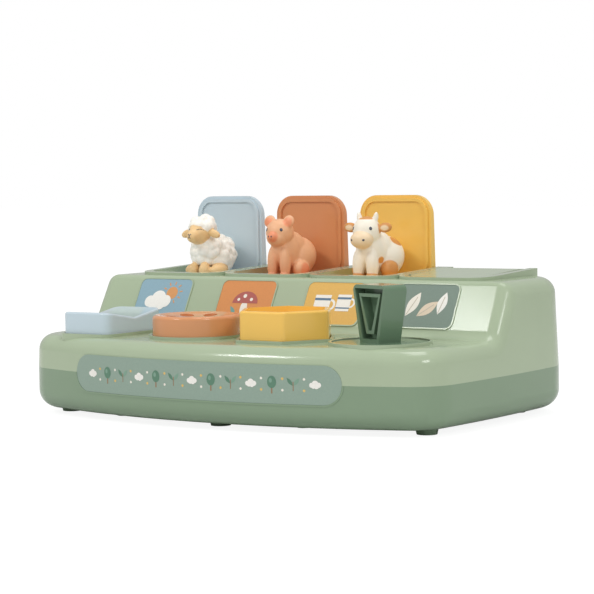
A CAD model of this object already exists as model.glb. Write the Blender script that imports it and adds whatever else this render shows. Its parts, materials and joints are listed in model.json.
"""Pop up animal toy: finishes, figures, printed films and the stage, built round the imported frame."""

import json
import math
import random

import bmesh
import bpy
import numpy as np
from bpy.props import FloatProperty, FloatVectorProperty, IntProperty, PointerProperty
from mathutils import Matrix, Vector
from mathutils.bvhtree import BVHTree


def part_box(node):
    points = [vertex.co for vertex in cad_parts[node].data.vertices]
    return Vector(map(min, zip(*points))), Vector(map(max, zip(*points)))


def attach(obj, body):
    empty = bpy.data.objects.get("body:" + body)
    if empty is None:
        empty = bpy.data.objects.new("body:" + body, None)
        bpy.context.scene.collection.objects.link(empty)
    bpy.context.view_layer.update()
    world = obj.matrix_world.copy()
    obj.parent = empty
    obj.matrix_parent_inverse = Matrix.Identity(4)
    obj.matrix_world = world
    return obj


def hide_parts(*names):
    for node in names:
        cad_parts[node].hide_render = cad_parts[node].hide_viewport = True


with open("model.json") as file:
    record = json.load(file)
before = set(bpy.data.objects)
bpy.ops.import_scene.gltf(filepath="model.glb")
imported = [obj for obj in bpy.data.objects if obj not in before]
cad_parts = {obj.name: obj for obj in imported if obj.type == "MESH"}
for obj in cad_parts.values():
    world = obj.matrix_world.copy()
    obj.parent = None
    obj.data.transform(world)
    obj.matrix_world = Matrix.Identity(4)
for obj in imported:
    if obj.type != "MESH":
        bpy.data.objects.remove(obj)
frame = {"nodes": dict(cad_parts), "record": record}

bl_info = {
    "name": "Pop Up Animal Toy",
    "version": (1, 0, 0),
    "blender": (4, 5, 0),
    "location": "View3D > Sidebar > Toy",
    "description": "Dresses a pop up animal toy with moulded plastic, vinyl animals and printed films",
    "category": "Object",
}

MM = 0.001
JOINTS = {joint["name"]: joint for joint in frame["record"]["behaviour"]["joints"]}
STATIONS = ("blue", "orange", "yellow", "green")
ANIMALS = dict(zip(STATIONS, ("sheep", "pig", "cow", "hen")))
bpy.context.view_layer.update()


def srgb(red, green, blue):
    """A colour given as it looks on a screen, 0 to 255, in the linear values that shaders take."""
    return tuple(((c / 255 + 0.055) / 1.055) ** 2.4 if c > 10 else c / 255 / 12.92 for c in (red, green, blue))


def colour(name, screen, description):
    return FloatVectorProperty(name=name, subtype="COLOR", size=3, min=0, max=1, default=srgb(*screen),
                               description=description)


class ToyColours(bpy.types.PropertyGroup):
    """Colours of the toy's plastics, vinyls and printed films."""
    light_shell: colour("Upper housing", (172, 187, 158), "Sage of the upper housing")
    dark_shell: colour("Lower housing", (132, 154, 127), "Deeper green of the base and its feet")
    blue: colour("Blue", (198, 214, 222), "Blue rocker and lid")
    orange: colour("Dial", (220, 154, 108), "Orange dial")
    terracotta: colour("Orange lid", (218, 148, 100), "Lid behind the pig")
    yellow: colour("Yellow", (248, 200, 100), "Yellow button and lid")
    key_green: colour("Key", (108, 134, 108), "Twist key")
    film_blue: colour("Blue film", (140, 172, 186), "Film on the first slope panel")
    film_orange: colour("Orange film", (216, 142, 80), "Film on the second slope panel")
    film_yellow: colour("Yellow film", (226, 180, 92), "Film on the third slope panel")
    film_grey: colour("Grey film", (124, 142, 130), "Film on the fourth slope panel")
    film_front: colour("Front film", (146, 166, 152), "Film on the bowed front")
    wool: colour("Wool", (255, 252, 242), "Sheep's fleece")
    tan: colour("Tan", (242, 204, 148), "Sheep's face and feet")
    peach: colour("Peach", (240, 184, 142), "Pig's skin")
    blush: colour("Blush", (240, 154, 114), "Pig's snout and soles")
    cream: colour("Cream", (252, 244, 228), "Cow's coat")
    hoof: colour("Hoof brown", (216, 150, 84), "Cow's hooves and patches")
    patch: colour("Patch", (232, 162, 84), "Cow's chest spot")
    muzzle: colour("Muzzle", (246, 220, 184), "Cow's muzzle")
    comb: colour("Comb", (196, 104, 84), "Hen's comb")
    ink: colour("Ink", (74, 78, 92), "Eyes and noses")
    steel: colour("Steel", (172, 174, 178), "Pins, springs and screws")
    inner: colour("Inner plastic", (206, 209, 200), "Hidden plate and bars")


class ToySizes(bpy.types.PropertyGroup):
    """Sizes that the dressing adds to the frame."""
    voxel: FloatProperty(name="Figure grain", default=0.55 * MM, unit="LENGTH", description="Voxel of the figures")
    tuft: FloatProperty(name="Tuft size", default=4.1 * MM, unit="LENGTH", description="Radius of a tuft of wool")
    tuft_gap: FloatProperty(name="Tuft gap", default=3.6 * MM, unit="LENGTH", description="Least gap between tufts")
    tuft_seed: IntProperty(name="Tuft seed", default=4, description="Seed of the tufts' places")
    mark_rise: FloatProperty(name="Mark rise", default=0.3 * MM, unit="LENGTH", description="Rise of eyes and noses")
    print_step: FloatProperty(name="Print layer", default=0.04 * MM, unit="LENGTH", description="Lift of each ink")
    front_radius: FloatProperty(name="Front radius", default=413.1 * MM, unit="LENGTH",
                                description="Radius of the bowed front film")
    figure_back: FloatProperty(name="Figure place", default=24 * MM, unit="LENGTH",
                               description="From the hinge forward to the middle of a figure")
    leaf_top: FloatProperty(name="Leaf top", default=2 * MM, unit="LENGTH",
                            description="From the hinge up to the floor leaf's top")


def sizes():
    return bpy.context.scene.toy_sizes


def colours():
    return bpy.context.scene.toy_colours


def body_of_node(node):
    bodies = frame["record"]["behaviour"]["bodies"]
    return next(body for body, nodes in bodies.items() if node in nodes)


def slot_of_node(node):
    parts = frame["record"]["subparts"]
    return next(part["material_slot"] for part in parts if part["node"] == node)


# Shader groups and materials

def add_socket(tree, name, side, kind, default=None):
    socket = tree.interface.new_socket(name=name, in_out=side, socket_type=kind)
    if default is not None:
        socket.default_value = default


def moulded_group():
    """Gentle mottling of colour and gloss, with the faint waviness of a moulded face."""
    tree = bpy.data.node_groups.get("Moulded face")
    if tree:
        return tree
    tree = bpy.data.node_groups.new("Moulded face", "ShaderNodeTree")
    add_socket(tree, "Colour", "INPUT", "NodeSocketColor", (0.8, 0.8, 0.8, 1))
    add_socket(tree, "Mottle", "INPUT", "NodeSocketFloat", 0.04)
    add_socket(tree, "Gloss", "INPUT", "NodeSocketFloat", 0.3)
    add_socket(tree, "Scale", "INPUT", "NodeSocketFloat", 40)
    add_socket(tree, "Colour", "OUTPUT", "NodeSocketColor")
    add_socket(tree, "Roughness", "OUTPUT", "NodeSocketFloat")
    add_socket(tree, "Height", "OUTPUT", "NodeSocketFloat")
    nodes, links = tree.nodes, tree.links
    ins, outs = nodes.new("NodeGroupInput"), nodes.new("NodeGroupOutput")
    place = nodes.new("ShaderNodeTexCoord")
    broad, fine = nodes.new("ShaderNodeTexNoise"), nodes.new("ShaderNodeTexNoise")
    broad.inputs["Detail"].default_value = 3
    fine.inputs["Scale"].default_value = 900
    fine.inputs["Detail"].default_value = 2
    links.new(place.outputs["Object"], broad.inputs["Vector"])
    links.new(place.outputs["Object"], fine.inputs["Vector"])
    links.new(ins.outputs["Scale"], broad.inputs["Scale"])
    swing = nodes.new("ShaderNodeMath")
    swing.operation = "SUBTRACT"
    swing.inputs[1].default_value = 0.5
    links.new(broad.outputs["Fac"], swing.inputs[0])
    depth = nodes.new("ShaderNodeMath")
    depth.operation = "MULTIPLY"
    links.new(swing.outputs[0], depth.inputs[0])
    links.new(ins.outputs["Mottle"], depth.inputs[1])
    level = nodes.new("ShaderNodeMath")
    level.operation = "ADD"
    level.inputs[1].default_value = 1
    links.new(depth.outputs[0], level.inputs[0])
    tint = nodes.new("ShaderNodeVectorMath")
    tint.operation = "SCALE"
    links.new(ins.outputs["Colour"], tint.inputs[0])
    links.new(level.outputs[0], tint.inputs["Scale"])
    rough = nodes.new("ShaderNodeMath")
    rough.operation = "MULTIPLY_ADD"
    rough.inputs[1].default_value = 0.12
    links.new(swing.outputs[0], rough.inputs[0])
    links.new(ins.outputs["Gloss"], rough.inputs[2])
    links.new(tint.outputs[0], outs.inputs["Colour"])
    links.new(rough.outputs[0], outs.inputs["Roughness"])
    links.new(fine.outputs["Fac"], outs.inputs["Height"])
    return tree


def plastic(name, tint, gloss=0.28, mottle=0.05, scale=30, relief=0.02, coat=0.0, metal=0.0, painted=False):
    """A material from the moulded face group; a painted one takes its colour from the piece's own attribute."""
    made = bpy.data.materials.get(name)
    if made:
        return made
    made = bpy.data.materials.new(name)
    made.use_nodes = True
    nodes, links = made.node_tree.nodes, made.node_tree.links
    shader = nodes["Principled BSDF"]
    face = nodes.new("ShaderNodeGroup")
    face.node_tree = moulded_group()
    face.inputs["Colour"].default_value = (*tint, 1)
    face.inputs["Mottle"].default_value = mottle
    face.inputs["Gloss"].default_value = gloss
    face.inputs["Scale"].default_value = scale
    if painted:
        paint = nodes.new("ShaderNodeAttribute")
        paint.attribute_name = "paint"
        links.new(paint.outputs["Color"], face.inputs["Colour"])
    bump = nodes.new("ShaderNodeBump")
    bump.inputs["Strength"].default_value = relief
    bump.inputs["Distance"].default_value = 0.2 * MM
    links.new(face.outputs["Height"], bump.inputs["Height"])
    links.new(face.outputs["Colour"], shader.inputs["Base Color"])
    links.new(face.outputs["Roughness"], shader.inputs["Roughness"])
    links.new(bump.outputs["Normal"], shader.inputs["Normal"])
    shader.inputs["Metallic"].default_value = metal
    shader.inputs["Specular IOR Level"].default_value = 0.35
    shader.inputs["Coat Weight"].default_value = coat
    shader.inputs["Coat Roughness"].default_value = 0.12
    made.diffuse_color = (*tint, 1)
    return made


def material_for(node):
    tints = colours()
    slot = slot_of_node(node)
    table = {
        "light_shell": (tints.light_shell, 0.15), "dark_shell": (tints.dark_shell, 0.16),
        "blue_plastic": (tints.blue, 0.15), "orange_plastic": (tints.orange, 0.15),
        "lid_orange": (tints.terracotta, 0.2), "yellow_plastic": (tints.yellow, 0.15),
        "green_plastic": (tints.key_green, 0.12), "lid_green": (tints.light_shell, 0.2),
        "grey_label": (tints.film_front if node == "front_label" else tints.film_grey, 0.5),
        "blue_label": (tints.film_blue, 0.5), "orange_label": (tints.film_orange, 0.5),
        "yellow_label": (tints.film_yellow, 0.5), "inner_plastic": (tints.inner, 0.45),
        "steel": (tints.steel, 0.3),
    }
    tint, gloss = table[slot]
    film = slot.endswith("_label")
    return plastic(f"{'front film' if node == 'front_label' else slot} finish", tint, gloss, mottle=0.16 if film else 0.05,
                   scale=900 if film else 30, relief=0.1 if film else 0.02, coat=0 if film else 0.1,
                   metal=1.0 if slot == "steel" else 0.0)


# Meshes

def link(name, mesh, material):
    item = bpy.data.objects.new(name, mesh)
    bpy.context.scene.collection.objects.link(item)
    mesh.materials.clear()
    mesh.materials.append(material)
    return item


def evaluated(item):
    """The item's mesh with its modifiers applied; the item itself is removed."""
    bpy.context.view_layer.update()
    mesh = bpy.data.meshes.new_from_object(item.evaluated_get(bpy.context.evaluated_depsgraph_get()))
    bpy.data.objects.remove(item)
    return mesh


def mark_edges(mesh, limit):
    """Smooth shading, with sharp edges where faces meet at more than the limit."""
    work = bmesh.new()
    work.from_mesh(mesh)
    for face in work.faces:
        face.smooth = True
    for edge in work.edges:
        edge.smooth = len(edge.link_faces) == 2 and edge.calc_face_angle(0) < limit
    work.to_mesh(mesh)
    work.free()


def finish_node(node, limit=32):
    """A merged, smoothly shaded copy of a frame node, which stands for the node."""
    mesh = frame["nodes"][node].data.copy()
    work = bmesh.new()
    work.from_mesh(mesh)
    bmesh.ops.remove_doubles(work, verts=work.verts, dist=0.004 * MM)
    bmesh.ops.dissolve_degenerate(work, edges=work.edges, dist=0.004 * MM)
    work.to_mesh(mesh)
    work.free()
    mark_edges(mesh, math.radians(limit))
    piece = link(node + "_finish", mesh, material_for(node))
    even = piece.modifiers.new("Even normals", "WEIGHTED_NORMAL")
    even.keep_sharp = True
    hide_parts(node)
    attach(piece, body_of_node(node))
    return piece


# Figures. Places and radii are in millimetres from the middle of a figure's base; -Y is its front.
# A lump is radii, centre, lean about X, turn about Y. Lumps off the middle are made on both sides.

SHEEP_FLEECE = [((11.2, 12.4, 11), (0, 9, 14.4), 20, 0), ((8.8, 8, 11), (0, -0.5, 17), 12, 0),
                ((6.6, 6.2, 4.8), (0, -4.6, 34.6), 0, 0)]
SHEEP_SKIN = {"face": ((7.2, 8.2, 7.2), (0, -9.8, 29.8), 0, 0), "snout": ((4.7, 6, 4.9), (0, -15.6, 28.4), 8, 0),
              "ear": ((5.2, 2, 2.8), (11.4, -7.8, 29.8), 0, 20), "leg": ((3.8, 4.6, 5.2), (4.6, -10.6, 4.4), 0, 0),
              "haunch": ((4.8, 8.6, 4.6), (10.4, -1.6, 4.2), 0, 0)}
PIG = {"body": ((13.8, 15.6, 13.6), (0, 8, 13.6), 28, 0), "chest": ((9.8, 10.6, 15), (0, -4, 19), 14, 0),
       "shoulder": ((9.8, 12.6, 9.8), (0, 2.6, 21), -40, 0),
       "head": ((9.6, 9.3, 9.2), (0, -10.8, 31), 0, 0), "cheek": ((7.4, 6.6, 6), (0, -14.4, 27.6), 0, 0),
       "snout": ((3.4, 3.4, 3.1), (0, -20, 28.4), 0, 0), "ear": ((4.4, 2, 4.4), (7.6, -11.4, 38.4), -16, 24),
       "leg": ((3.6, 4.2, 11.4), (4.9, -12.4, 10.6), 0, 0), "toe": ((3.5, 4, 2.6), (4.9, -14, 1.8), 0, 0),
       "haunch": ((4.8, 7.8, 6.2), (10.2, -1, 6.1), 0, 0)}
COW = {"body": ((14.6, 16.4, 14), (0, 9, 14), 26, 0), "chest": ((10.2, 10.8, 15), (0, -4, 19), 14, 0),
       "shoulder": ((10.2, 12.8, 10), (0, 3, 21.5), -40, 0),
       "head": ((9.4, 9, 9.8), (0, -10, 32), 0, 0), "muzzle": ((7.8, 6.3, 5.9), (0, -16.8, 26.6), 0, 0),
       "ear": ((5.2, 1.9, 3.4), (13.2, -8.6, 34.4), 0, -6), "horn": ((1.8, 1.8, 4), (6.2, -8.8, 40.8), 0, 10),
       "leg": ((4.1, 4.6, 11), (5.2, -12, 10), 0, 0), "toe": ((4.1, 4.4, 3), (5.2, -13.4, 2), 0, 0),
       "haunch": ((4.9, 7.8, 6.2), (11, 0, 6.2), 0, 0)}
HEN = {"body": ((12.6, 13, 12.6), (0, 4, 13.2), 0, 0), "breast": ((10, 10.4, 11), (0, -5, 16), 0, 0),
       "neck": ((7.4, 7.6, 8.6), (0, -8, 25), 0, 0), "head": ((7, 7, 7), (0, -9.6, 32.5), 0, 0),
       "comb": ((1.5, 3.8, 2.8), (0, -9.6, 38.4), 0, 0), "beak": ((1.8, 3.2, 1.7), (0, -17, 31.5), 8, 0),
       "tail": ((4, 6.6, 6.8), (0, 14.6, 21), 24, 0), "wing": ((4.2, 8.6, 6.4), (10.6, 4.4, 15.2), 8, 0),
       "foot": ((3.4, 4.6, 2.4), (5, -9.4, 2.2), 0, 0)}

def lump_mesh(name, lumps):
    """One mesh of overlapping ellipsoids."""
    work = bmesh.new()
    for radii, spot, lean, turn in lumps:
        for side in ((1, -1) if spot[0] else (1,)):
            matrix = (Matrix.Translation(Vector((side * spot[0], spot[1], spot[2])) * MM)
                      @ Matrix.Rotation(math.radians(lean), 4, "X")
                      @ Matrix.Rotation(math.radians(turn * side), 4, "Y")
                      @ Matrix.Diagonal((*[radius * MM for radius in radii], 1)))
            bmesh.ops.create_uvsphere(work, u_segments=40, v_segments=24, radius=1, matrix=matrix)
    mesh = bpy.data.meshes.new(name)
    work.to_mesh(mesh)
    work.free()
    return mesh


def tuft_tree():
    """Geometry nodes: tufts of wool scattered over the surface of the fleece."""
    tree = bpy.data.node_groups.new("Wool tufts", "GeometryNodeTree")
    for name, side, kind, default in (("Geometry", "INPUT", "NodeSocketGeometry", None),
                                      ("Tuft radius", "INPUT", "NodeSocketFloat", 0.003),
                                      ("Least gap", "INPUT", "NodeSocketFloat", 0.004),
                                      ("Seed", "INPUT", "NodeSocketInt", 1),
                                      ("Material", "INPUT", "NodeSocketMaterial", None),
                                      ("Geometry", "OUTPUT", "NodeSocketGeometry", None)):
        add_socket(tree, name, side, kind, default)
    nodes, links = tree.nodes, tree.links
    ins, outs = nodes.new("NodeGroupInput"), nodes.new("NodeGroupOutput")
    points = nodes.new("GeometryNodeDistributePointsOnFaces")
    points.distribute_method = "POISSON"
    points.inputs["Density Max"].default_value = 400000
    ball = nodes.new("GeometryNodeMeshIcoSphere")
    ball.inputs["Subdivisions"].default_value = 3
    spread = nodes.new("GeometryNodeInstanceOnPoints")
    vary = nodes.new("FunctionNodeRandomValue")
    vary.inputs[2].default_value = 0.8
    vary.inputs[3].default_value = 1.2
    real = nodes.new("GeometryNodeRealizeInstances")
    join = nodes.new("GeometryNodeJoinGeometry")
    coat = nodes.new("GeometryNodeSetMaterial")
    links.new(ins.outputs["Geometry"], points.inputs["Mesh"])
    links.new(ins.outputs["Least gap"], points.inputs["Distance Min"])
    links.new(ins.outputs["Seed"], points.inputs["Seed"])
    links.new(ins.outputs["Seed"], vary.inputs["Seed"])
    links.new(ins.outputs["Tuft radius"], ball.inputs["Radius"])
    links.new(points.outputs["Points"], spread.inputs["Points"])
    links.new(ball.outputs["Mesh"], spread.inputs["Instance"])
    links.new(vary.outputs[1], spread.inputs["Scale"])
    links.new(spread.outputs["Instances"], real.inputs["Geometry"])
    links.new(real.outputs["Geometry"], join.inputs["Geometry"])
    links.new(ins.outputs["Geometry"], join.inputs["Geometry"])
    links.new(join.outputs["Geometry"], coat.inputs["Geometry"])
    links.new(ins.outputs["Material"], coat.inputs["Material"])
    links.new(coat.outputs["Geometry"], outs.inputs["Geometry"])
    return tree


def set_input(modifier, name, number):
    """Sets a geometry nodes input by its socket's identifier."""
    for socket in modifier.node_group.interface.items_tree:
        if socket.item_type == "SOCKET" and socket.in_out == "INPUT" and socket.name == name:
            modifier[socket.identifier] = number


def blend_lumps(name, mesh, rounds):
    """Melts overlapping lumps into one skin and eases the creases between them."""
    item = bpy.data.objects.new(name, mesh)
    bpy.context.scene.collection.objects.link(item)
    melt = item.modifiers.new("Melt", "REMESH")
    melt.mode = "VOXEL"
    melt.voxel_size = sizes().voxel
    ease = item.modifiers.new("Ease", "SMOOTH")
    ease.factor = 0.5
    ease.iterations = rounds
    mesh = evaluated(item)
    for vertex in mesh.vertices:
        vertex.co.z = max(vertex.co.z, 0.05 * MM)
    return mesh


def inside(points, lump, grow, side):
    """How deep each point lies in a lump grown by a share: below 1 is inside."""
    radii, spot, lean, turn = lump
    centre = np.array((side * spot[0], spot[1], spot[2]))
    turned = (Matrix.Rotation(math.radians(lean), 3, "X") @ Matrix.Rotation(math.radians(turn * side), 3, "Y"))
    local = (points - centre) @ np.array(turned)
    return np.sqrt((((local / (np.array(radii) * grow)) ** 2).sum(axis=1)))


def paint(mesh, base, patches):
    """Colours a figure: each patch is a lump, its growth, the width of its soft edge and its colour."""
    count = len(mesh.vertices)
    points = np.empty(count * 3)
    mesh.vertices.foreach_get("co", points)
    points = points.reshape(-1, 3) / MM
    tint = np.tile(np.array((*base, 1.0)), (count, 1))
    for lump, grow, soft, shade in patches:
        for side in ((1, -1) if lump[1][0] else (1,)):
            depth = np.clip((1 - inside(points, lump, grow, side)) / soft + 0.5, 0, 1)
            share = (depth * depth * (3 - 2 * depth))[:, None]
            tint = tint * (1 - share) + np.array((*shade, 1.0)) * share
    layer = mesh.color_attributes.new("paint", "FLOAT_COLOR", "POINT")
    layer.data.foreach_set("color", tint.ravel())


def settle(mesh, station):
    """Moves a figure's mesh from its own middle to its floor leaf, turned with a lid that is shut at rest."""
    hinge = Vector(JOINTS[f"flap_{station}_hinge"]["pos_m"])
    move = Matrix.Translation(hinge)
    if JOINTS[f"flap_{station}_hinge"]["range_deg"][0] < 0:
        move = move @ Matrix.Rotation(math.pi / 2, 4, "X")
    mesh.transform(move @ Matrix.Translation((0, -sizes().figure_back, sizes().leaf_top)))


def figure_piece(name, mesh, station, material, stands_for=True):
    """Turns a figure's mesh into a piece that rides on its flap."""
    settle(mesh, station)
    for face in mesh.polygons:
        face.use_smooth = True
    piece = link(name, mesh, material)
    if stands_for:
        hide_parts(ANIMALS[station])
    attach(piece, f"flap_{station}")
    return piece


def vinyl():
    return plastic("painted vinyl", colours().cream, gloss=0.4, mottle=0.05, scale=60, relief=0.05, painted=True)


def mark_figure(name, mesh, station, marks):
    """Eyes, nostrils and lashes: flat beads laid on the skin, as seen from the front.

    A mark is its place across and up, its half width and half height, and its turn.
    """
    skin = BVHTree.FromPolygons([vertex.co for vertex in mesh.vertices], [face.vertices for face in mesh.polygons])
    work = bmesh.new()
    for x, z, wide, high, turn in marks:
        for side in ((1, -1) if x else (1,)):
            spot, normal, _, _ = skin.ray_cast(Vector((side * x * MM, -60 * MM, z * MM)), Vector((0, 1, 0)))
            if spot is None:
                raise RuntimeError(f"{name}: the mark at {x}, {z} misses the figure")
            across = Vector((0, 0, 1)).cross(normal).normalized()
            basis = Matrix((across, normal.cross(across), normal)).transposed().to_4x4()
            matrix = (Matrix.Translation(spot) @ basis @ Matrix.Rotation(math.radians(turn * side), 4, "Z")
                      @ Matrix.Diagonal((wide * MM, high * MM, sizes().mark_rise, 1)))
            bmesh.ops.create_uvsphere(work, u_segments=20, v_segments=12, radius=1, matrix=matrix)
    beads = bpy.data.meshes.new(name)
    work.to_mesh(beads)
    work.free()
    figure_piece(name, beads, station, plastic("mark ink", colours().ink, gloss=0.25, coat=0.3), stands_for=False)


def make_sheep():
    tints = colours()
    fleece = bpy.data.objects.new("fleece", lump_mesh("fleece", SHEEP_FLEECE))
    bpy.context.scene.collection.objects.link(fleece)
    tufts = fleece.modifiers.new("Tufts", "NODES")
    tufts.node_group = tuft_tree()
    for name, number in (("Tuft radius", sizes().tuft), ("Least gap", sizes().tuft_gap),
                         ("Seed", sizes().tuft_seed), ("Material", vinyl())):
        set_input(tufts, name, number)
    work = bmesh.new()
    work.from_mesh(evaluated(fleece))
    work.from_mesh(lump_mesh("skin", SHEEP_SKIN.values()))
    whole = bpy.data.meshes.new("sheep_lumps")
    work.to_mesh(whole)
    work.free()
    mesh = blend_lumps("sheep_melt", whole, 5)
    part = SHEEP_SKIN
    paint(mesh, tints.wool, [(part["face"], 1.08, 0.06, tints.tan), (part["snout"], 1.2, 0.1, tints.tan),
                             (part["leg"], 1.16, 0.08, tints.tan), (part["haunch"], 1.14, 0.08, tints.tan),
                             (((10.8, 10.2, 8.8), (0, -4.4, 35.4), 0, 0), 1, 0.05, tints.wool),
                             (part["ear"], 1.3, 0.16, tints.tan)])
    lash = [(4.6 + 1.5 * t, 32.6 + 0.5 * (1 - t * t) - 0.2 * t, 0.45, 0.3, -20 * t) for t in (-1, -0.5, 0, 0.5, 1)]
    nose = [(0.7, 29.5, 0.85, 0.32, 35), (0, 28.4, 0.3, 1.0, 0), (0.6, 27.3, 0.6, 0.26, -25)]
    mark_figure("sheep_marks", mesh, "blue", lash + nose)
    figure_piece("sheep_vinyl", mesh, "blue", vinyl())


def make_pig():
    tints = colours()
    mesh = blend_lumps("pig_melt", lump_mesh("pig_lumps", PIG.values()), 8)
    paint(mesh, tints.peach, [(PIG["snout"], 1.25, 0.3, tints.blush), (PIG["toe"], 1.1, 0.7, tints.blush),
                              (((3.4, 4.6, 5), (14.4, -1.6, 5.6), 0, 0), 1, 0.5, tints.blush),
                              (((3.4, 2.4, 3.2), (7.8, -13.2, 38), 0, 0), 1, 0.6, tints.blush)])
    mark_figure("pig_marks", mesh, "orange", [(5.8, 33, 1.05, 1.2, 0), (1.1, 28.6, 0.4, 0.65, 0)])
    figure_piece("pig_vinyl", mesh, "orange", vinyl())


def make_cow():
    tints = colours()
    mesh = blend_lumps("cow_melt", lump_mesh("cow_lumps", COW.values()), 7)
    paint(mesh, tints.cream, [(COW["muzzle"], 1.06, 0.1, tints.muzzle),
                              (((6.4, 6.4, 3.6), (0, -9.6, 41.6), 0, 0), 1, 0.14, tints.hoof),
                              (COW["horn"], 1.3, 0.2, tints.cream), (COW["ear"], 1.35, 0.2, tints.hoof),
                              (((3.4, 1.2, 1.9), (13.6, -10.6, 34.2), 0, 0), 1, 0.5, tints.muzzle),
                              (((2.6, 3.4, 3), (10, -7.4, 12.4), 0, 0), 1, 0.14, tints.patch),
                              (((5, 6, 4.2), (8.4, 12.6, 24.6), 0, 0), 1, 0.14, tints.hoof),
                              (COW["haunch"], 1.08, 0.14, tints.hoof), (COW["toe"], 1.14, 0.2, tints.hoof)])
    mark_figure("cow_marks", mesh, "yellow", [(6.6, 34, 1.0, 1.2, 0), (4.5, 26.6, 0.9, 0.7, 20)])
    figure_piece("cow_vinyl", mesh, "yellow", vinyl())


def make_hen():
    tints = colours()
    mesh = blend_lumps("hen_melt", lump_mesh("hen_lumps", HEN.values()), 5)
    paint(mesh, tints.wool, [(HEN["comb"], 1.3, 0.2, tints.comb), (HEN["beak"], 1.3, 0.2, tints.tan),
                             (HEN["foot"], 1.15, 0.2, tints.tan), (HEN["wing"], 1.08, 0.1, tints.muzzle)])
    mark_figure("hen_marks", mesh, "green", [(4.4, 33.4, 0.9, 1.0, 0)])
    figure_piece("hen_vinyl", mesh, "green", vinyl())


# Printed motifs. Outlines are lists of (across, up) in millimetres from the middle of a film.

def ring(cx, cy, rx, ry=None, turn=0, count=28):
    ry = ry or rx
    cos_t, sin_t = math.cos(math.radians(turn)), math.sin(math.radians(turn))
    spots = []
    for step in range(count):
        angle = 2 * math.pi * step / count
        x, y = rx * math.cos(angle), ry * math.sin(angle)
        spots.append((cx + x * cos_t - y * sin_t, cy + x * sin_t + y * cos_t))
    return spots


def leaf(cx, cy, half, width, turn, count=14):
    """A pointed leaf between two tips."""
    cos_t, sin_t = math.cos(math.radians(turn)), math.sin(math.radians(turn))
    upper = [(-half + 2 * half * k / count, width * math.sin(math.pi * k / count)) for k in range(count)]
    lower = [(half - 2 * half * k / count, -width * math.sin(math.pi * k / count)) for k in range(count)]
    return [(cx + x * cos_t - y * sin_t, cy + x * sin_t + y * cos_t) for x, y in upper + lower]


def bar(x0, y0, x1, y1, thick):
    """A straight stroke with square ends."""
    run = Vector((x1 - x0, y1 - y0)).normalized()
    off = Vector((-run.y, run.x)) * thick / 2
    return [(x0 + off.x, y0 + off.y), (x0 - off.x, y0 - off.y), (x1 - off.x, y1 - off.y), (x1 + off.x, y1 + off.y)]


def dome(cx, cy, rx, ry, count=16):
    return [(cx + rx * math.cos(math.pi * k / count), cy + ry * math.sin(math.pi * k / count))
            for k in range(count + 1)]


def cloud(cx, cy, size):
    return [ring(cx + dx * size, cy + dy * size, r * size) for dx, dy, r in
            ((-1.1, 0, 0.7), (0, 0.35, 1), (1.05, 0.05, 0.75), (0.4, -0.25, 0.8), (-0.5, -0.2, 0.75))]


def print_piece(name, shapes, place, body):
    """Inks on a film: each shape is an outline and a colour, and lies a little over the ones that it crosses."""
    work = bmesh.new()
    layer = work.loops.layers.float_color.new("paint")
    levels = []
    for outline, tint in shapes:
        before = set(work.faces)
        low, high = np.min(outline, axis=0), np.max(outline, axis=0)
        under = [level for level, other_low, other_high in levels
                 if (low < other_high).all() and (other_low < high).all()]
        levels.append((max(under, default=0) + 1, low, high))
        spots = [work.verts.new((x * MM, y * MM, levels[-1][0] * sizes().print_step)) for x, y in outline]
        work.faces.new(spots)
        bmesh.ops.triangulate(work, faces=[face for face in work.faces if face not in before])
        for face in work.faces:
            if face not in before:
                for loop in face.loops:
                    loop[layer] = (*tint, 1)
    reach = max(abs(vertex.co.x) for vertex in work.verts)
    cuts = int(reach / (4 * MM))
    for step in range(-cuts, cuts + 1):
        geometry = work.verts[:] + work.edges[:] + work.faces[:]
        bmesh.ops.bisect_plane(work, geom=geometry, plane_co=(step * 4 * MM, 0, 0), plane_no=(1, 0, 0), dist=1e-7)
    for vertex in work.verts:
        vertex.co = place(vertex.co.x, vertex.co.y, vertex.co.z)
    mesh = bpy.data.meshes.new(name)
    work.to_mesh(mesh)
    work.free()
    piece = link(name, mesh, plastic("printed ink", colours().wool, gloss=0.5, mottle=0.1, scale=900, relief=0.08,
                                     painted=True))
    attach(piece, body)
    return piece


def slope_place(station):
    """Where a spot on a slope film lies: across along X, up along the slope, out along its normal."""
    low, high = (Vector(corner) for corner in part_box(f"slope_label_{station}"))
    middle = (low + high) / 2
    thick = 0.4 * MM
    run, rise = high.y - low.y, high.z - low.z
    lean = math.atan2(rise, run)
    for _ in range(4):
        lean = math.atan2(rise - thick * math.cos(lean), run - thick * math.sin(lean))
    up = Vector((0, math.cos(lean), math.sin(lean)))
    out = Vector((0, -math.sin(lean), math.cos(lean)))
    return lambda x, y, h: middle + Vector((x, 0, 0)) + up * y + out * (thick / 2 + h)


def front_place():
    """Where a spot on the front film lies: across along the bow, up along Z, out from its centre."""
    low, high = (Vector(corner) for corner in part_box("front_label"))
    radius = sizes().front_radius
    centre_y, middle_z = low.y + radius, (low.z + high.z) / 2

    def put(x, y, h):
        return Vector(((radius + h) * math.sin(x / radius), centre_y - (radius + h) * math.cos(x / radius),
                       middle_z + y))
    return put


INKS = {"white": (243, 240, 233), "sun": (216, 152, 92), "berry": (176, 92, 84), "teal": (112, 158, 150),
        "navy": (92, 122, 148), "sand": (226, 208, 184), "stone": (240, 234, 222), "rib": (196, 186, 166),
        "far_hill": (128, 162, 142), "tree": (96, 134, 112), "trunk": (150, 120, 92),
        "gold": (226, 190, 110)}


def ink(name):
    return srgb(*INKS[name])


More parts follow.
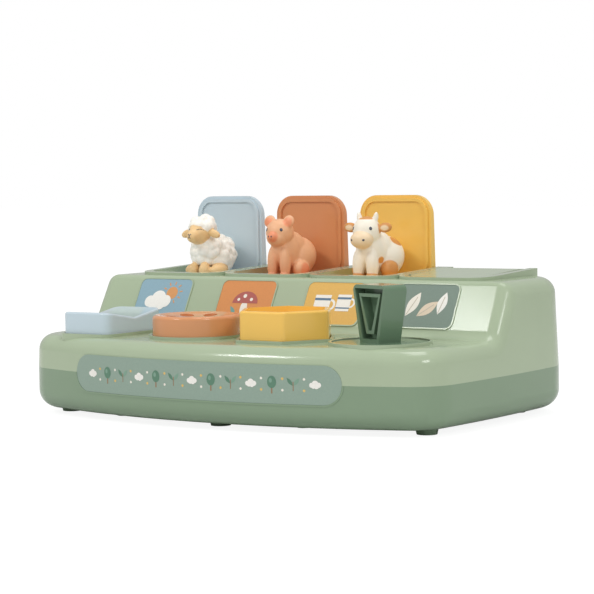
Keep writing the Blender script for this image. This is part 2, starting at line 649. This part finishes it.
def motifs_blue():
    """A low sun behind a cloud."""
    shapes = [(ring(6.5, 4.5, 4.6), ink("sun"))]
    for step in range(10):
        angle = math.radians(36 * step + 10)
        shapes.append((bar(6.5 + 6 * math.cos(angle), 4.5 + 6 * math.sin(angle), 6.5 + 8.4 * math.cos(angle),
                           4.5 + 8.4 * math.sin(angle), 0.9), ink("sun")))
    return shapes + [(spot, ink("white")) for spot in cloud(-3.5, -2, 6)]


def motifs_orange():
    """One broad mushroom between two leaves."""
    shapes = [(ring(0, -5, 2.6, 5.4), ink("stone")), (dome(0, -1.6, 10, 8.6), ink("berry"))]
    for x, y, r in ((-5.4, 1, 1.1), (-1, 3.6, 1.4), (4.6, 1.2, 1.2)):
        shapes.append((ring(x, y, r), ink("stone")))
    for x, turn in ((-8, 130), (8, 50)):
        shapes.append((leaf(x, -7, 4, 1.3, turn), ink("teal")))
    return shapes


def motifs_yellow():
    """Two banded mugs."""
    shapes = []
    for x, y, size in ((-8, -1, 1.05), (8, 0.5, 0.9)):
        shapes.append((ring(x + 6 * size, y, 3.6 * size, 3.8 * size), ink("white")))
        shapes.append((ring(x + 6 * size, y, 2.1 * size, 2.4 * size), colours().film_yellow[:]))
        shapes.append((bar(x, y - 6.5 * size, x, y + 6.5 * size, 11.4 * size), ink("white")))
        shapes.append((bar(x - 5.7 * size, y + 3.6 * size, x + 5.7 * size, y + 3.6 * size, 1.6 * size), ink("navy")))
        shapes.append((bar(x - 5.7 * size, y - 4 * size, x + 5.7 * size, y - 4 * size, 1.0 * size), ink("navy")))
    return shapes


def motifs_green():
    """Three pale leaves."""
    shapes = []
    for x, y, half, turn, tint in ((-9, 1, 9, 66, "stone"), (2, -2, 8.4, 38, "sand"), (11.5, 2, 7.8, 78, "white")):
        shapes.append((leaf(x, y, half, half * 0.42, turn), ink(tint)))
        cos_t, sin_t = math.cos(math.radians(turn)), math.sin(math.radians(turn))
        shapes.append((bar(x - cos_t * half * 0.9, y - sin_t * half * 0.9, x + cos_t * half * 0.6,
                           y + sin_t * half * 0.6, 0.5), ink("rib")))
    return shapes


def tree(x, y, size):
    return [(bar(x, y, x, y + 4.5 * size, 0.8 * size), ink("trunk")),
            (ring(x, y + 6 * size, 2.6 * size, 3.2 * size), ink("tree")),
            (ring(x - 0.7 * size, y + 6.8 * size, 0.9 * size, 1.2 * size), ink("far_hill"))]


def sprig(x, y, size):
    """A pair of leaves on a short stem."""
    return [(bar(x, y, x, y + 5 * size, 0.5 * size), ink("trunk")),
            (leaf(x - 2 * size, y + 5 * size, 2.7 * size, size, 130), ink("tree")),
            (leaf(x + 2 * size, y + 5 * size, 2.7 * size, size, 50), ink("far_hill"))]


def motifs_front():
    """An even row along the whole film: clouds, trees and sprigs in turn, with dots between them."""
    shapes = []
    spacing, count = 14, 6
    for number in range(-count, count + 1):
        x = number * spacing
        kind = number % 3
        if kind == 0:
            shapes += [(spot, ink("white")) for spot in cloud(x, 0, 2.1)]
        elif kind == 1:
            shapes += tree(x, -5.6, 1.15)
        else:
            shapes += sprig(x, -3.8, 1.1)
        if number < count:
            middle = x + spacing / 2
            shapes.append((ring(middle, 3.4 if number % 2 else -3.4, 0.8, count=14), ink("stone")))
            shapes.append((ring(middle, -3.4 if number % 2 else 3.4, 0.8, count=14), ink("gold")))
    return shapes


# Operators

class TOY_OT_housing(bpy.types.Operator):
    """Finish the two housing shells and the feet"""
    bl_idname = "toy.housing"
    bl_label = "Housing"

    def execute(self, context):
        for node in ("upper_housing", "lower_housing", "feet"):
            finish_node(node)
        return {"FINISHED"}


class TOY_OT_controls(bpy.types.Operator):
    """Finish the rocker, the dial, the button and the key"""
    bl_idname = "toy.controls"
    bl_label = "Controls"

    def execute(self, context):
        for node in ("rocker", "dial", "push_button", "key_grip", "key_disc"):
            finish_node(node)
        return {"FINISHED"}


class TOY_OT_lids(bpy.types.Operator):
    """Finish the lids with their floor leaves"""
    bl_idname = "toy.lids"
    bl_label = "Lids"

    def execute(self, context):
        for station in STATIONS:
            finish_node(f"flap_{station}")
        return {"FINISHED"}


class TOY_OT_figures(bpy.types.Operator):
    """Model the seated animals"""
    bl_idname = "toy.figures"
    bl_label = "Figures"

    def execute(self, context):
        make_sheep()
        make_pig()
        make_cow()
        make_hen()
        return {"FINISHED"}


class TOY_OT_films(bpy.types.Operator):
    """Print the motifs on the films"""
    bl_idname = "toy.films"
    bl_label = "Printed films"

    def execute(self, context):
        motifs = {"blue": motifs_blue, "orange": motifs_orange, "yellow": motifs_yellow, "green": motifs_green}
        for station, make in motifs.items():
            node = f"slope_label_{station}"
            print_piece(f"slope_print_{station}", make(), slope_place(station), body_of_node(node))
        print_piece("front_print", motifs_front(), front_place(), body_of_node("front_label"))
        return {"FINISHED"}


class TOY_OT_small_nodes(bpy.types.Operator):
    """Give the films, the hidden pieces and the fasteners their finish"""
    bl_idname = "toy.small_nodes"
    bl_label = "Films and inner pieces"

    def execute(self, context):
        for part in frame["record"]["subparts"]:
            if part["node"] not in ANIMALS.values():
                item = frame["nodes"][part["node"]]
                for slot in item.material_slots:
                    slot.material = material_for(part["node"])
        return {"FINISHED"}


def area_lamp(name, spot, target, width, power):
    lamp = bpy.data.lights.new(name, "AREA")
    lamp.shape = "RECTANGLE"
    lamp.size, lamp.size_y = width, width * 0.8
    lamp.energy = power
    item = bpy.data.objects.new(name, lamp)
    bpy.context.scene.collection.objects.link(item)
    item.location = spot
    item.rotation_mode = "QUATERNION"
    item.rotation_quaternion = (Vector(target) - Vector(spot)).to_track_quat("-Z", "Y")
    return item


def stage_material():
    """A pale floor that shows nearly white to the camera and keeps a soft shadow."""
    made = bpy.data.materials.new("pale floor")
    made.use_nodes = True
    nodes, links = made.node_tree.nodes, made.node_tree.links
    nodes.clear()
    out = nodes.new("ShaderNodeOutputMaterial")
    matt, glow = nodes.new("ShaderNodeBsdfDiffuse"), nodes.new("ShaderNodeEmission")
    matt.inputs["Color"].default_value = (0.86, 0.86, 0.86, 1)
    glow.inputs["Color"].default_value = (1, 1, 1, 1)
    glow.inputs["Strength"].default_value = 1.2
    mix, path = nodes.new("ShaderNodeMixShader"), nodes.new("ShaderNodeLightPath")
    share = nodes.new("ShaderNodeMath")
    share.operation = "MULTIPLY"
    share.inputs[1].default_value = 0.75
    links.new(path.outputs["Is Camera Ray"], share.inputs[0])
    links.new(share.outputs[0], mix.inputs["Fac"])
    links.new(matt.outputs[0], mix.inputs[1])
    links.new(glow.outputs[0], mix.inputs[2])
    links.new(mix.outputs[0], out.inputs["Surface"])
    return made


def make_world():
    world = bpy.data.worlds.new("soft room")
    bpy.context.scene.world = world
    world.use_nodes = True
    nodes, links = world.node_tree.nodes, world.node_tree.links
    ground = nodes["Background"]
    ground.inputs["Color"].default_value = (1, 1, 1, 1)
    path = nodes.new("ShaderNodeLightPath")
    level = nodes.new("ShaderNodeMix")
    level.data_type = "FLOAT"
    level.inputs["A"].default_value = 0.5
    level.inputs["B"].default_value = 1.0
    links.new(path.outputs["Is Camera Ray"], level.inputs["Factor"])
    links.new(level.outputs["Result"], ground.inputs["Strength"])


CAMERA_SPOT = (725.2, -1086.5, 156.6)


def make_camera():
    """The photograph's view: from the front right, a little above, with a long lens."""
    azimuth, pitch, roll = math.radians(33.34), math.radians(3.58), math.radians(-0.88)
    focal_px, frame_px, sensor = 2026, 594, 36
    lens = bpy.data.cameras.new("camera")
    lens.sensor_width = sensor
    lens.lens = focal_px / frame_px * sensor
    lens.clip_start, lens.clip_end = 0.05, 30
    camera = bpy.data.objects.new("camera", lens)
    bpy.context.scene.collection.objects.link(camera)
    forward = Vector((-math.sin(azimuth) * math.cos(pitch), math.cos(azimuth) * math.cos(pitch), -math.sin(pitch)))
    right = Vector((math.cos(azimuth), math.sin(azimuth), 0))
    up = right.cross(forward)
    right_r = math.cos(roll) * right + math.sin(roll) * up
    up_r = -math.sin(roll) * right + math.cos(roll) * up
    turn = Matrix((right_r, up_r, -forward)).transposed()
    camera.matrix_world = Matrix.Translation(Vector(CAMERA_SPOT) * MM) @ turn.to_4x4()
    bpy.context.scene.camera = camera


class TOY_OT_stage(bpy.types.Operator):
    """Make the floor, the lamps and the camera"""
    bl_idname = "toy.stage"
    bl_label = "Stage"

    def execute(self, context):
        mesh = bpy.data.meshes.new("floor")
        reach = 6
        mesh.from_pydata([(-reach, -reach, 0), (reach, -reach, 0), (reach, reach, 0), (-reach, reach, 0)], [],
                         [(0, 1, 2, 3)])
        floor = link("floor", mesh, stage_material())
        make_world()
        area_lamp("lamp left", (-1.0, -1.6, 1.8), (0, 0, 0.05), 0.6, 17)
        area_lamp("lamp right", (1.7, -0.8, 1.2), (0, 0, 0.05), 0.6, 9)
        area_lamp("lamp top", (0.2, 0.2, 2.2), (0, 0, 0), 1.2, 15)
        make_camera()
        bpy.context.scene.view_settings.view_transform = "Standard"
        return {"FINISHED"}


class TOY_PT_panel(bpy.types.Panel):
    """Lists the toy's operators, sizes and colours"""
    bl_label = "Pop up animal toy"
    bl_idname = "TOY_PT_panel"
    bl_space_type = "VIEW_3D"
    bl_region_type = "UI"
    bl_category = "Toy"

    def draw(self, context):
        for operator in OPERATORS:
            self.layout.operator(operator.bl_idname)
        for group in (context.scene.toy_sizes, context.scene.toy_colours):
            column = self.layout.column()
            for name in group.__annotations__:
                column.prop(group, name)


OPERATORS = (TOY_OT_small_nodes, TOY_OT_housing, TOY_OT_controls, TOY_OT_lids, TOY_OT_figures, TOY_OT_films,
             TOY_OT_stage)
CLASSES = (ToyColours, ToySizes) + OPERATORS + (TOY_PT_panel,)


def register():
    for entry in CLASSES:
        bpy.utils.register_class(entry)
    bpy.types.Scene.toy_colours = PointerProperty(type=ToyColours)
    bpy.types.Scene.toy_sizes = PointerProperty(type=ToySizes)


def unregister():
    del bpy.types.Scene.toy_sizes
    del bpy.types.Scene.toy_colours
    for entry in reversed(CLASSES):
        bpy.utils.unregister_class(entry)


def main():
    register()
    bpy.ops.toy.small_nodes()
    bpy.ops.toy.housing()
    bpy.ops.toy.controls()
    bpy.ops.toy.lids()
    bpy.ops.toy.figures()
    bpy.ops.toy.films()
    bpy.ops.toy.stage()


if __name__ == "__main__":
    main()
